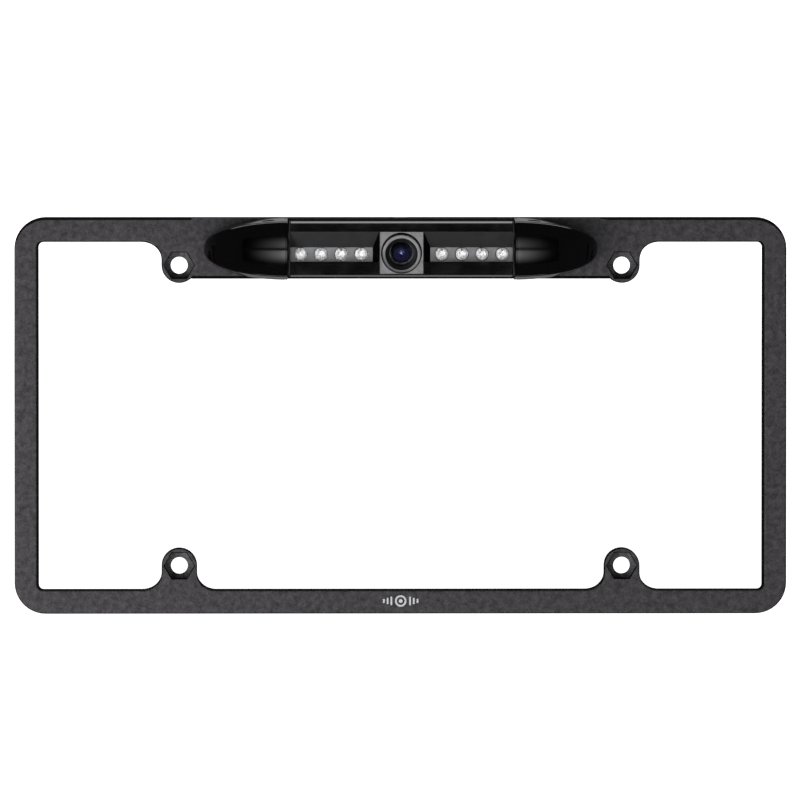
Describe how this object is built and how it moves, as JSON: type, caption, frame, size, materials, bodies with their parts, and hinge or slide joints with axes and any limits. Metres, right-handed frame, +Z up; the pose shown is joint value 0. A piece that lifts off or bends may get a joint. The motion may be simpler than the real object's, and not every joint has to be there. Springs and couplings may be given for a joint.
{
  "type": "backup camera",
  "caption": "License plate frame with a camera bar that tilts between two end housings on its top edge, with a lens in the middle and a row of lamps on each side.",
  "frame": {"origin": "centre of the four plate-screw holes, in the rear plane of the screw tabs", "axes": "+X to the right seen from the front, -Y towards the viewer, out of the front face, +Z up"},
  "size_m": [0.31, 0.0292, 0.1593],
  "materials": {
    "frame_plastic": "satin moulded black plastic, fine grain",
    "mark_ink": "silver pad print",
    "gloss_black": "polished black plastic",
    "black_plastic": "fine matt black plastic",
    "zinc_steel": "zinc plated steel",
    "black_steel": "black oxide steel",
    "brass": "turned brass",
    "rubber": "moulded black rubber",
    "alloy": "bead blasted grey anodised alloy",
    "grey_plastic": "grey moulded plastic",
    "clear_resin": "water clear resin",
    "led_die": "phosphor and reflector cup",
    "board_green": "green solder mask",
    "tin": "tin solder",
    "chip_black": "moulded chip",
    "wire_red": "red insulated wire",
    "coated_glass": "coated optical glass",
    "blue_filter": "infra-red cut filter glass",
    "nylon_white": "natural nylon"
  },
  "bodies": {
    "frame": {"plate_frame": "frame_plastic", "printed_mark": "mark_ink", "end_housing_left": "gloss_black", "end_housing_right": "gloss_black", "housing_screws": "zinc_steel", "clamp_pad_left": "brass", "clamp_pad_right": "brass"},
    "camera_bar": {"bar_shell": "gloss_black", "bar_rear_cover": "black_plastic", "bar_gasket": "rubber", "rear_cover_screws": "zinc_steel", "cable_gland": "rubber", "pivot_plug_left": "alloy", "pivot_plug_right": "alloy", "friction_washer_left": "zinc_steel", "friction_washer_right": "zinc_steel", "led_bezel_left": "grey_plastic", "led_bezel_right": "grey_plastic", "leds_left": "clear_resin", "leds_right": "clear_resin", "led_dies_left": "led_die", "led_dies_right": "led_die", "led_board_left": "board_green", "led_board_right": "board_green", "led_resistors": "chip_black", "led_solder_tails": "tin", "light_wires": "wire_red", "camera_block": "grey_plastic", "lens_barrel": "alloy", "barrel_seal": "rubber", "lens_retainer": "black_plastic", "front_lens": "coated_glass", "aperture_stop": "black_plastic", "second_lens": "coated_glass", "lens_spacer": "black_plastic", "rear_lens": "coated_glass", "lens_holder": "black_plastic", "ir_cut_filter": "blue_filter", "image_sensor": "chip_black", "camera_board": "board_green", "board_parts": "chip_black", "board_connector": "nylon_white"},
    "clamp_left": {"clamp_screw_left": "black_steel"},
    "clamp_right": {"clamp_screw_right": "black_steel"}
  },
  "joints": [
    {"name": "camera_bar_tilt", "type": "hinge", "parent": "frame", "child": "camera_bar", "pos_m": [0, -0.0188, 0.067], "axis": [1, 0, 0], "range_deg": [-20, 20]},
    {"name": "clamp_screw_left_turn", "type": "hinge", "parent": "frame", "child": "clamp_left", "pos_m": [-0.0534, -0.0188, 0.0746], "axis": [0, 0, 1], "range_deg": [0, 180]},
    {"name": "clamp_screw_right_turn", "type": "hinge", "parent": "frame", "child": "clamp_right", "pos_m": [0.0534, -0.0188, 0.0746], "axis": [0, 0, 1], "range_deg": [0, 180]}
  ]
}
